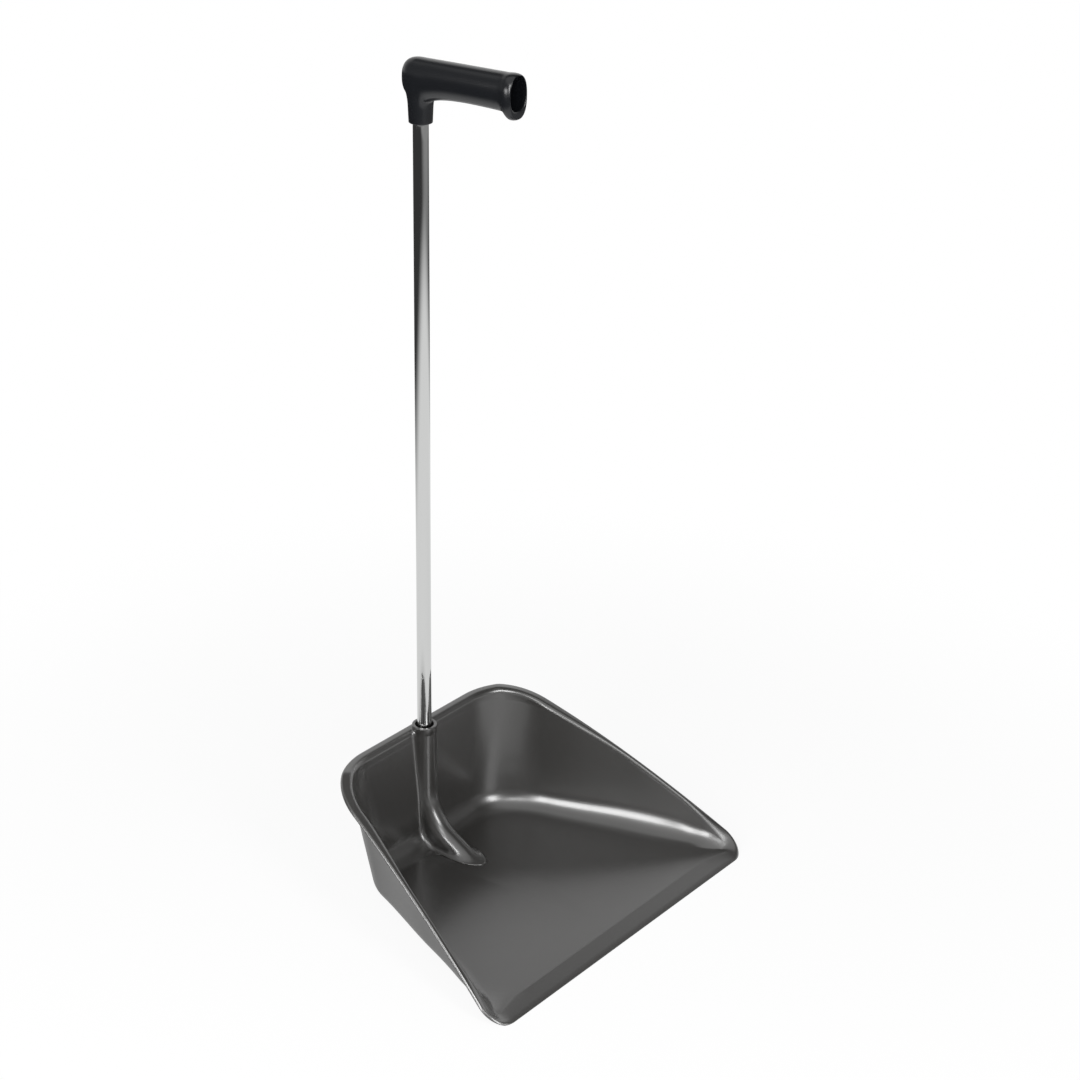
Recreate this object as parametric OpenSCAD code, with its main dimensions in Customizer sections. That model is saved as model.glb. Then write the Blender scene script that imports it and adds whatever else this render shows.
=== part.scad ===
// Lobby dustpan: a moulded scoop with an upright socket at its back, a straight
// tube pushed into the socket, and a pistol grip pushed onto the tube's top.
//
// Millimetres, +Z up, the pan stands on z = 0 and its lip faces -Y. The origin is
// the middle of the object's footprint. Each piece is drawn about the tube's own
// axis (x = 0, y = 0) and then carried back to that origin by axis_y.

/* [Pan] */
// Width across the lip, between the sharp corners its round ones stand for
lip_w = 390; // [300:1:460]
// From the tube's axis to the lip's front edge
lip_reach = 259; // [200:1:320]
// From the tube's axis to the rim's back edge
rim_back = 15; // [13:0.5:22]
// Width across the back of the rim, between its sharp corners
back_w = 260; // [220:1:320]
// Height of the rim along the back
rim_h = 128; // [100:1:170]
// Length of level rim at the back before it starts to fall
rim_level = 12; // [4:1:30]
// Steepness of the rim's side where it leaves the lip, as a share of its mean fall
rim_rise_front = 1.3; // [0.9:0.05:1.6]
// Steepness of the rim's side where it meets the level back
rim_rise_back = 0.65; // [0.3:0.05:1.1]
// Corner radius of the lip, in plan
front_corner_r = 20.5; // [19.5:0.5:40]
// Corner radius of the back of the rim, in plan
back_corner_r = 70; // [62:1:90]
// Thickness of the walls
wall_t = 2.5; // [2:0.1:4]
// Thickness of the floor
floor_t = 3; // [2.5:0.1:4.5]
// Thickness of the lip at its edge
lip_t = 1.2; // [0.8:0.1:2]
// Lean of the side walls from upright, at the back
side_draft = 10.4; // [4:0.2:12]
// Lean of the side walls from upright, where they are low
front_draft = 18.7; // [8:0.1:22]
// Lean of the back wall from upright
back_draft = 5; // [2:0.2:7]
// Radius between the floor and the walls, inside
floor_fillet = 22; // [10:1:26]
// From the lip's edge to where the side walls start to stand up
wall_from = 24; // [10:1:34]
// Length over which the side walls come up to their full form
wall_over = 25; // [16:1:60]

/* [Rim] */
// Width of the rim's flat flange along the back
flange_back = 12; // [9:0.5:14]
// Width of the flange half way along the sides
flange_side = 6; // [5:0.5:9]
// Width of the flange where the sides run into the lip
flange_front = 10; // [8:0.5:11]
// Width of the ramp along the lip
ramp_w = 22; // [14:0.5:32]
// Thickness of the flange
flange_t = 2.8; // [2:0.1:4]
// Radius of the flange's inner edge
rim_r = 3; // [1.5:0.25:4]
// Depth of the stacking shoulder below the rim
shoulder_drop = 11; // [8:0.5:18]
// How far the wall steps in at the shoulder
shoulder_step = 0.8; // [0.4:0.1:1.4]

/* [Socket] */
// Diameter of the upright boss
boss_d = 23.6; // [20:0.2:27]
// Diameter of the ring round the socket's mouth
mouth_ring_d = 24.8; // [22:0.2:28]
// Height of the mouth above the rim
mouth_rise = 4.3; // [3:0.1:8]
// Diameter of the mouth's flare at the top
flare_d = 18.4; // [16:0.2:20.4]
// Depth of the flare
flare_depth = 9; // [4:0.5:16]
// Depth of the socket from the mouth to the seat of the tube
socket_depth = 112; // [70:1:116]
// Gap all round between the tube and the socket
socket_gap = 0.05; // [0.02:0.01:0.1]
// Reach of the boss's toe from the tube's axis, along the floor
toe_reach = 70.4; // [60:0.2:84]
// Width of the toe at its foot
toe_w = 25; // [22:0.5:32]
// Height at which the toe starts to bend forward out of the boss
toe_h = 63.8; // [54:0.2:76]
// Fall of the toe's straight foot
toe_fall = 27.4; // [22:0.2:32]
// Diameter of the core that keeps the toe hollow from below
toe_core_d = 17; // [8:0.5:19]

/* [Tube] */
// Outside diameter of the tube
tube_d = 14; // [12:0.5:15.5]
// Wall of the tube
tube_t = 1; // [0.6:0.1:2]
// Length of the tube
tube_l = 762; // [500:1:950]

/* [Grip] */
// From the tube's axis to the grip's open front end
grip_front = 110; // [95:1:140]
// From the tube's axis to the grip's round back end
grip_back = 18; // [16.5:0.5:24]
// Width of the grip
grip_w = 25; // [22:0.5:32]
// Height of the grip's underside above the foot of its collar
grip_under = 28.5; // [22:0.5:36]
// Height of the grip's body over the tube's axis
grip_h = 29; // [25:0.5:36]
// Rise of the grip's top from the tube's axis to the front end
grip_rise = 5; // [0:0.5:12]
// Depth of the hook that stops the hand at the front
hook_drop = 6; // [3:0.5:9]
// Length of the hook, back from the open end
hook_l = 14; // [10:1:30]
// Length over which the underside sweeps up from the collar
under_sweep = 20; // [6:1:24]
// Wall of the hollow grip
grip_wall = 3.2; // [2.2:0.1:4]
// Diameter of the collar at its foot
collar_d = 21; // [18.6:0.2:24]
// How far the tube goes into the grip
grip_insert = 48; // [35:1:53]
// Gap all round between the tube and the grip
grip_gap = 0.03; // [0.01:0.01:0.1]

/* [Hidden] */

// The origin sits half way between the lip and whatever reaches furthest back.
axis_y = (lip_reach - max(rim_back, grip_back)) / 2;

// Heights of the seats, from the floor up.
mouth_z = rim_h + mouth_rise;
seat_z = mouth_z - socket_depth;
tube_top_z = seat_z + tube_l;
collar_z = tube_top_z - grip_insert;

// Counts of segments along the pan's outline, and of steps round its fillets.
lip_n = 6;
corner_n = 6;
side_n = 12;
back_corner_n = 8;
wall_n = 3;
toe_n = 16;
fillet_n = 7;
round_fn = 64;
// Shares of the wall's height at which it has a level, close where the toe leaves it.
rise_at = [0.07, 0.14, 0.21, 0.28, 0.38, 0.6];

// Smooth step from 0 to 1, and a minimum whose two branches meet in a fillet.
function step01(t) = let (c = min(1, max(0, t))) c * c * (3 - 2 * c);
function blend_min(a, b, k) = let (h = max(k - abs(a - b), 0) / k) min(a, b) - h * h * k / 4;
function mix(a, b, t) = a + (b - a) * t;

// The outline of the rim in plan: a trapezium with round corners. A station on it
// is [x, y, heading of the outward normal, width of the flange].
taper = atan2((lip_w - back_w) / 2, lip_reach + rim_back);
front_sweep = 90 + taper;
back_sweep = 90 - taper;
front_c = [lip_w / 2 - front_corner_r * tan(front_sweep / 2), front_corner_r - lip_reach];
back_c = [back_w / 2 - back_corner_r * tan(back_sweep / 2), rim_back - back_corner_r];
side_from = front_c + front_corner_r * [cos(taper), sin(taper)];
side_to = back_c + back_corner_r * [cos(taper), sin(taper)];
// The ramp's crease draws in over this length so that it clears the round corner.
crease_end = front_corner_r;
crease_w = min(ramp_w, front_corner_r - 5);
// Past this half width the back is plain; inside it the toe needs close stations.
toe_zone = 0.9 * toe_w;

function side_flange(q) =
    mix(mix(flange_front, flange_side, step01(q / 0.25)), flange_back, step01((q - 0.5) / 0.5));

half_outline = concat(
    [for (i = [0:lip_n - 1]) let (x = front_c.x * sin(90 * i / lip_n))
        [x, -lip_reach, -90, mix(ramp_w, crease_w, step01((x - front_c.x + crease_end) / crease_end))]],
    [for (i = [0:corner_n - 1]) let (a = -90 + front_sweep * i / corner_n)
        [front_c.x + front_corner_r * cos(a), front_c.y + front_corner_r * sin(a), a,
         mix(crease_w, flange_front, step01(i / corner_n))]],
    [for (i = [0:side_n - 1]) let (q = i / side_n, p = mix(side_from, side_to, q))
        [p.x, p.y, taper, side_flange(q)]],
    [for (i = [0:back_corner_n - 1]) let (a = taper + back_sweep * i / back_corner_n)
        [back_c.x + back_corner_r * cos(a), back_c.y + back_corner_r * sin(a), a, flange_back]],
    [for (i = [0:wall_n - 1]) [mix(back_c.x, toe_zone, i / wall_n), rim_back, 90, flange_back]],
    [for (i = [0:toe_n]) [toe_zone * (1 - i / toe_n), rim_back, 90, flange_back]]
);

// Height of the rim over the ground at a place along the pan.
function rim_z(y) =
    let (s = min(1, max(0, (y + lip_reach) / (rim_back - rim_level + lip_reach))),
         rise = rim_rise_front * (s^3 - 2 * s^2 + s) + 3 * s^2 - 2 * s^3
              + rim_rise_back * (s^3 - s^2))
    lip_t + (rim_h - lip_t) * rise;

// The walls lean more along the sides than across the back, and most where they are low.
function side_lean(y) =
    mix(side_draft, front_draft, step01((side_to.y - y) / (0.75 * (side_to.y - side_from.y))));
function draft(st) = mix(back_draft, side_lean(st.y), step01((90 - st[2]) / 50));

// The toe is the boss bent forward: its crest leaves the boss's front in an arc and runs
// straight out to the floor.
toe_meet_z = floor_t + (toe_reach - boss_d / 2) * tan(toe_fall);
toe_bend_r = max(4, (toe_h - toe_meet_z) / tan(45 - toe_fall / 2));
toe_foot_z = toe_h - toe_bend_r * cos(toe_fall);
function toe_steep(z) =
    z >= toe_h ? 1 : z <= toe_foot_z ? sin(toe_fall) : sqrt(1 - ((toe_h - z) / toe_bend_r)^2);
function toe_crest(z) =
    z >= toe_h ? -boss_d / 2 + (z - toe_h) / 4
    : z >= toe_foot_z ? -boss_d / 2 - toe_bend_r * (1 - toe_steep(z))
    : -toe_reach + (z - floor_t) / tan(toe_fall);

// The toe's front, as y over x and z: a level cut through the bent boss.
function toe_y(x, z) =
    let (t = min(1, max(0, (z - floor_t) / (toe_h - floor_t))),
         half = mix(toe_w, boss_d, t) / 2,
         depth = half / toe_steep(z),
         u = abs(x) / half)
    u < 1 ? toe_crest(z) + depth * (1 - sqrt(1 - u * u)) : toe_crest(z) + depth + 3 * (abs(x) - half);
// Fillet between the toe, the back wall and the floor.
toe_fillet = 6;

// One section of the shell, from the floor up the inside, over the flange and down
// the outside: a list of [distance in from the rim's edge, height].
function section(st) =
    let (w = st[3], lean = draft(st),
         top = rim_z(st.y), inner = max(top, floor_t), h = inner - floor_t,
         edge = min(flange_t, top) / 2,
         r = min(rim_r, 0.35 * h), r_in = max(r, 1),
         wall_top = inner - r,
         fr = min(floor_fillet, 0.75 * (h - r)), fr_in = max(fr, 3),
         fillet_z = floor_t + fr * (1 - sin(lean)),
         drop = wall_top - fillet_z,
         shelf = rim_h - shoulder_drop,
         step = shoulder_step * step01((wall_top - shelf - 1) / 5),
         z1 = min(shelf + 0.75, wall_top - 0.03 * drop),
         z2 = min(shelf - 0.75, wall_top - 0.06 * drop),
         foot = w + drop * tan(lean) + step + 0.6,
         far = foot + fr_in * cos(lean),
         up = st[2] == -90 ? 1 : step01((st.y + lip_reach - wall_from) / wall_over),
         under = max(0, top - flange_t),
         over = max(w - wall_t, 2.5),
         gr = min(floor_fillet + wall_t, 0.75 * under), gr_in = max(gr, 1.5),
         skirt_z = gr * (1 - sin(lean)),
         skirt = over + 0.4 + (under - skirt_z) * tan(lean))
    concat(
        stand_up(up, [edge, top], [far, floor_t], concat(
            [for (i = [fillet_n:-1:0]) let (b = mix(lean, 90, i / fillet_n))
                [foot + fr_in * (cos(lean) - cos(b)), floor_t + fr * (1 - sin(b))]],
            [for (f = rise_at) let (z = mix(fillet_z, z2, f))
                [w + (wall_top - z) * tan(lean) + step + mix(0.6, 0.4, f), z]],
            [[w + (wall_top - z2) * tan(lean) + step + 0.4, z2],
             [w + (wall_top - z1) * tan(lean) + 0.2, z1],
             [w, wall_top],
             [w - r_in * (1 - sin(50)), inner - r * (1 - cos(50))],
             [w - r_in, inner]])),
        [[edge, top],
         [0, top - edge],
         [edge, top - 2 * edge]],
        stand_up(up, [edge, top - 2 * edge], [far, 0], concat(
            [[over, under]],
            [for (i = [0:fillet_n - 1]) let (b = mix(lean, 90, i / (fillet_n - 1)))
                [skirt + gr_in * (cos(lean) - cos(b)), gr * (1 - sin(b))]]))
    );
// Levels of a section that lie on the inner wall and floor fillet, where the toe rises.
inner_levels = fillet_n + len(rise_at) + 3;

// A wall that has not stood up yet is a plain slope from the rim's edge to the floor.
function stand_up(up, from, to, points) =
    [for (p = points) let (slope = mix(from[1], to[1], step01((p[0] - from[0]) / (to[0] - from[0]))))
        [p[0], mix(slope, p[1], up)]];

// The points of one station, from the floor's middle outwards: first a point on the
// flat floor, on a ring that passes in front of the toe, then the section's own.
floor_mid = [0, -(toe_reach + lip_reach) / 2, floor_t];
under_mid = [0, floor_mid.y, 0];
function section_points(st, side) =
    [for (p = section(st)) [side * (st.x - p[0] * cos(st[2])), st.y - p[0] * sin(st[2]), p[1]]];
function with_toe(p) = [p.x, blend_min(p.y, toe_y(p.x, p.z), toe_fillet), p.z];
function station(st, side) =
    let (points = section_points(st, side), inward = 0.7 * (floor_mid.y + toe_reach) / floor_mid.y)
    concat([mix(floor_mid, points[0], inward)],
        [for (i = [0:len(points) - 1]) st[2] == 90 && i < inner_levels ? with_toe(points[i]) : points[i]]);

// A closed skin over a loop of rings of equal length. The first level of every ring
// closes on the first point given, and the last level on the second.
module skin(rings, first_mid, last_mid) {
    n = len(rings);
    m = len(rings[0]);
    polyhedron(
        points = concat([for (r = rings, p = r) p], [first_mid, last_mid]),
        faces = [for (i = [0:n - 1]) let (k = (i + 1) % n) each concat(
            [for (j = [0:m - 2]) each [
                [i * m + j, k * m + j, k * m + j + 1],
                [i * m + j, k * m + j + 1, i * m + j + 1]]],
            [[n * m, k * m, i * m],
             [n * m + 1, i * m + m - 1, k * m + m - 1]])],
        convexity = 8);
}

module shell() {
    last = len(half_outline) - 1;
    right = [for (i = [0:last]) station(half_outline[i], 1)];
    left = [for (i = [last - 1:-1:1]) station(half_outline[i], -1)];
    skin(concat(right, left), floor_mid, under_mid);
}

// The hollow under the toe, as the mould's lower half leaves it.
module toe_core() {
    start = toe_reach - (toe_core_d / 2 + wall_t + floor_t) / sin(toe_fall);
    length = (start - boss_d / 2 - wall_t) / cos(toe_fall) - toe_core_d / 2 * tan(toe_fall);
    translate([0, -start, 0]) rotate([toe_fall - 90, 0, 0]) translate([0, 0, -toe_core_d])
        cylinder(d = toe_core_d, h = length + toe_core_d, $fn = round_fn);
}

module pan() {
    color("dimgray") translate([0, axis_y, 0]) difference() {
        union() {
            shell();
            cylinder(d = boss_d, h = rim_h, $fn = round_fn);
            mouth_ring();
        }
        translate([0, 0, seat_z])
            cylinder(d = tube_d + 2 * socket_gap, h = socket_depth + 1, $fn = round_fn);
        flare();
        toe_core();
    }
}

// The ring round the mouth stands a little proud of the boss, with a soft top edge.
module mouth_ring() {
    soft = 1.6;
    tall = mouth_rise + flange_t;
    rotate_extrude($fn = round_fn) union() {
        translate([0, mouth_z - tall]) square([mouth_ring_d / 2, tall - soft]);
        translate([0, mouth_z - tall]) square([mouth_ring_d / 2 - soft, tall]);
        intersection() {
            translate([mouth_ring_d / 2 - soft, mouth_z - soft]) circle(r = soft, $fn = 32);
            translate([mouth_ring_d / 2 - soft, mouth_z - soft]) square(soft);
        }
    }
}

// The mouth's flare, which shows as a dark gap round the tube.
module flare() {
    bore = tube_d + 2 * socket_gap;
    translate([0, 0, mouth_z - flare_depth])
        cylinder(d1 = bore, d2 = flare_d, h = flare_depth, $fn = round_fn);
    translate([0, 0, mouth_z - 0.01]) cylinder(d = flare_d, h = 1, $fn = round_fn);
}

module handle_tube() {
    color("gainsboro") translate([0, axis_y, seat_z]) difference() {
        cylinder(d = tube_d, h = tube_l, $fn = round_fn);
        translate([0, 0, -1]) cylinder(d = tube_d - 2 * tube_t, h = tube_l + 2, $fn = round_fn);
    }
}

// The grip's body along its length, as [y, half width, mid height, half height] over the
// collar's foot. Its back end is half an oval; its front end rolls in to the opening.
// The hollow, which is inset by the wall, runs straight past the hook.
grip_n = 18;
roll = 5;
body_from = grip_back - grip_h / 2 - 3;
function grip_top(y) = grip_under + grip_h + grip_rise * max(0, -y) / grip_front;
function grip_bottom(y, hook) =
    let (d = max(0, -y), hook_from = grip_front - hook_l)
    grip_under - 0.3 * grip_under * exp(-max(0, d - collar_d / 2) / under_sweep)
        - hook * step01((d - hook_from) / (hook_l - roll));
function grip_half(y) = grip_w / 2 * (0.9 + 0.1 * step01((-y - grip_front + 24) / 20));
function grip_station(y, inset) =
    let (cap = grip_back - body_from,
         back = y > body_from ? max(0, 1 - ((y - body_from) / cap)^2.5)^0.4 : 1,
         in = max(0, roll + y * -1 - grip_front),
         front = roll - sqrt(max(0, roll^2 - in^2)),
         low = grip_bottom(min(y, body_from), inset > 0 ? 0 : hook_drop),
         high = grip_top(min(y, body_from)),
         mid = (low + high) / 2, tall = (high - low) / 2)
    [y, grip_half(y) * back - 0.6 * front - inset, mid, tall * back - 0.6 * front - inset];
// A rounded upright oval, a little squarer than an ellipse.
oval_n = 28;
function oval(st, power) =
    [for (i = [0:oval_n - 1]) let (a = 360 * i / oval_n, c = cos(a), s = sin(a))
        [st[1] * sign(c) * abs(c)^power, st[0], st[2] + st[3] * sign(s) * abs(s)^power]];
module oval_skin(stations) skin_tube([for (st = stations) oval(st, 0.82)]);

// A skin over closed rings, capped at both ends.
module skin_tube(rings) {
    n = len(rings);
    m = len(rings[0]);
    polyhedron(
        points = [for (r = rings, p = r) p],
        faces = concat(
            [for (i = [0:n - 2], j = [0:m - 1]) let (k = (j + 1) % m)
                each [[i * m + j, (i + 1) * m + k, i * m + k], [i * m + j, (i + 1) * m + j, (i + 1) * m + k]]],
            [[for (j = [0:m - 1]) j], [for (j = [m - 1:-1:0]) (n - 1) * m + j]]),
        convexity = 6);
}

module grip() {
    // Stations close up where the back end and the front edge turn.
    back_ys = [for (i = [1:5]) body_from + (grip_back - body_from) * cos(90 * (i - 0.7) / 5)];
    mid_ys = [for (i = [0:grip_n - 1]) mix(body_from, roll - grip_front, i / grip_n)];
    front_ys = [for (i = [0:3]) roll - grip_front - roll * sin(90 * i / 3)];
    hollow_from = -(tube_d / 2 + grip_wall);
    hollow_n = 12;
    color([0.11, 0.12, 0.14]) translate([0, axis_y, collar_z]) difference() {
        union() {
            oval_skin([for (y = concat(back_ys, mid_ys, front_ys)) grip_station(y, 0)]);
            cylinder(d1 = collar_d, d2 = collar_d + 1.2, h = grip_under, $fn = round_fn);
        }
        translate([0, 0, -1])
            cylinder(d = tube_d + 2 * grip_gap, h = grip_insert + 1, $fn = round_fn);
        oval_skin([for (i = [0:hollow_n]) let (y = mix(hollow_from, roll - grip_front, i / hollow_n))
            grip_station(y, grip_wall)]);
        oval_skin([for (y = [roll - grip_front + 1, -grip_front - 1])
            let (st = grip_station(roll - grip_front, grip_wall)) [y, st[1], st[2], st[3]]]);
    }
}

pan();
handle_tube();
grip();
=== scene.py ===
"""Looks of the lobby dustpan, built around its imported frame.

Three pieces are modelled here: the pan, the handle tube and the grip. Sizes are in millimetres about
the tube's own axis and go to metres when a mesh is made. +Z is up and the pan's lip faces -Y.
"""
import logging
import math
from dataclasses import dataclass
from enum import Enum

import bmesh
import bpy
import numpy as np
from bmesh.types import BMEdge, BMesh, BMVert
from bpy.types import Material, Node, NodeSocket, NodeTree, Object
from mathutils import Matrix, Vector


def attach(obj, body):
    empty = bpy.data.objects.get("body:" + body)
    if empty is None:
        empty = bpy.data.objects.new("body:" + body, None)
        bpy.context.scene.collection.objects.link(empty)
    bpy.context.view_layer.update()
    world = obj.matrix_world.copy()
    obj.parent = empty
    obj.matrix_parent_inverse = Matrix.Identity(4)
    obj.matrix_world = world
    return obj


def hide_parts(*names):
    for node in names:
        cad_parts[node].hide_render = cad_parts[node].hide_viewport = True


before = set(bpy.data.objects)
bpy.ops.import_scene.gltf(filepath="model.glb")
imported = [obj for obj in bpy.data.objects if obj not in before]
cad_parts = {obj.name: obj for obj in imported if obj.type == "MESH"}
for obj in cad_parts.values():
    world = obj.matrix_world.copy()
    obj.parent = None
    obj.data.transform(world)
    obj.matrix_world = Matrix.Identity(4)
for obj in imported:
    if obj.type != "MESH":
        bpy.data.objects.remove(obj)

Pair = tuple[float, float]
Triple = tuple[float, float, float]
LOG = logging.getLogger("dustpan")
MM = 0.001
AXIS_Y = 120.5  # place of the tube's axis along Y in the frame, in millimetres
NEAR = 1e-4  # points closer than this to a level, in millimetres, lie on it
TINY = 1e-6  # gaps up to this, in millimetres, count as none
WELD = 0.002  # points closer than this, in millimetres, are joined
DRIFT_SCALE = 14.0  # slow patches in the plastics, per metre
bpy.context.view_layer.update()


class Body(Enum):
    """Bodies of the assembly that pieces ride on."""

    PAN = "pan"
    HANDLE = "handle"


class Slot(Enum):
    """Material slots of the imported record."""

    PAN = "pan_plastic"
    TUBE = "tube_chrome"
    GRIP = "grip_plastic"


def mix(a: float, b: float, t: float) -> float:
    """Value between a and b at the share t."""
    return a + (b - a) * t


def step01(t: float) -> float:
    """Smooth step from 0 to 1."""
    c = min(1.0, max(0.0, t))
    return c * c * (3 - 2 * c)


def resample(line: np.ndarray, count: int) -> np.ndarray:
    """Spread points evenly along a line.

    Args:
        line: Points of an open line, one per row.
        count: Number of points wanted.

    Returns:
        The evenly spaced points, ends included.
    """
    steps = np.linalg.norm(np.diff(line, axis=0), axis=1)
    run = np.concatenate([[0.0], np.cumsum(steps)])
    at = np.linspace(0.0, run[-1], count)
    return np.stack([np.interp(at, run, line[:, k]) for k in range(line.shape[1])], axis=1)


def nearest(points: np.ndarray, line: np.ndarray) -> tuple[np.ndarray, np.ndarray]:
    """Find the nearest place on an open line for each plane point.

    Args:
        points: Plane points, one per row.
        line: Points of the line, one per row.

    Returns:
        Each point's distance, and a number whose sign tells the side of the line that it lies on.
    """
    best = np.full(len(points), 1e9)
    side = np.zeros(len(points))
    for a, b in zip(line[:-1], line[1:]):
        span = b - a
        t = np.clip((points - a) @ span / max(span @ span, 1e-12), 0.0, 1.0)
        gap = points - (a + t[:, None] * span)
        dist = np.hypot(gap[:, 0], gap[:, 1])
        near = dist < best
        best = np.where(near, dist, best)
        side = np.where(near, span[0] * gap[:, 1] - span[1] * gap[:, 0], side)
    return best, side


def on_arc(centre: Pair, radius: float, heading: float) -> Pair:
    """Point on an arc at a heading in degrees."""
    turn = math.radians(heading)
    return centre[0] + radius * math.cos(turn), centre[1] + radius * math.sin(turn)


def quarter(steps: int) -> list[Pair]:
    """Sine and cosine of the angles from 0 to 90 degrees, in even steps."""
    turns = [math.radians(90 * k / steps) for k in range(steps + 1)]
    return [(math.sin(b), math.cos(b)) for b in turns]


def fillet_points(lean: float, wide: float, tall: float, steps: int) -> list[Pair]:
    """Points (distance from the wall, height) of a fillet, from a leaning wall down to the level."""
    turns = [mix(lean, math.pi / 2, i / steps) for i in range(steps + 1)]
    return [(wide * (math.cos(lean) - math.cos(b)), tall * (1 - math.sin(b))) for b in turns]


def level_edges(edges: list[BMEdge], axis: int, place: float) -> list[BMEdge]:
    """Those edges that lie at one place along an axis."""
    return [e for e in edges if all(abs(v.co[axis] - place) < NEAR for v in e.verts)]


def weld(mesh_bm: BMesh) -> None:
    """Join the points that lie together and turn all faces outward."""
    bmesh.ops.remove_doubles(mesh_bm, verts=mesh_bm.verts, dist=WELD)
    bmesh.ops.recalc_face_normals(mesh_bm, faces=mesh_bm.faces)


def draw_out(mesh_bm: BMesh, edges: list[BMEdge]) -> tuple[list[BMVert], list[BMEdge]]:
    """Draw a closed run of edges out of a mesh.

    Args:
        mesh_bm: The mesh.
        edges: The run of edges.

    Returns:
        The points and the edges of the new run.
    """
    grown = bmesh.ops.extrude_edge_only(mesh_bm, edges=edges)["geom"]
    verts = [g for g in grown if isinstance(g, BMVert)]
    run = [g for g in grown if isinstance(g, BMEdge) and all(v in verts for v in g.verts)]
    return verts, run


def finish_mesh(name: str, mesh_bm: BMesh) -> Object:
    """Turn a bmesh in millimetres about the tube's axis into an object in the frame.

    Args:
        name: Name of the object and its mesh.
        mesh_bm: The mesh, which is freed.

    Returns:
        The object, at the origin, with its place in its mesh.
    """
    to_frame = Matrix.Scale(MM, 4) @ Matrix.Translation((0, AXIS_Y, 0))
    bmesh.ops.transform(mesh_bm, matrix=to_frame, verts=mesh_bm.verts)
    for face in mesh_bm.faces:
        face.smooth = True
    mesh = bpy.data.meshes.new(name)
    mesh_bm.to_mesh(mesh)
    mesh_bm.free()
    piece = bpy.data.objects.new(name, mesh)
    bpy.context.scene.collection.objects.link(piece)
    return piece


def spin_profile(mesh_bm: BMesh, profile: list[Pair], steps: int) -> None:
    """Turn a profile of (radius, height) points about the Z axis into a closed skin.

    Args:
        mesh_bm: Mesh that takes the skin.
        profile: Points of the profile, from its first end to its last.
        steps: Number of steps round.
    """
    verts = [mesh_bm.verts.new((r, 0.0, z)) for r, z in profile]
    edges = [mesh_bm.edges.new(pair) for pair in zip(verts[:-1], verts[1:])]
    bmesh.ops.spin(
        mesh_bm,
        geom=verts + edges,
        cent=(0, 0, 0),
        axis=(0, 0, 1),
        angle=math.tau,
        steps=steps,
        use_merge=True,
    )


@dataclass(frozen=True)
class Station:
    """One place on the outline of the rim.

    Attributes:
        x: Place across the pan.
        y: Place along the pan.
        heading: Heading of the outward normal, in degrees.
        flange: Width of the flange there.
    """

    x: float
    y: float
    heading: float
    flange: float


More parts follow.
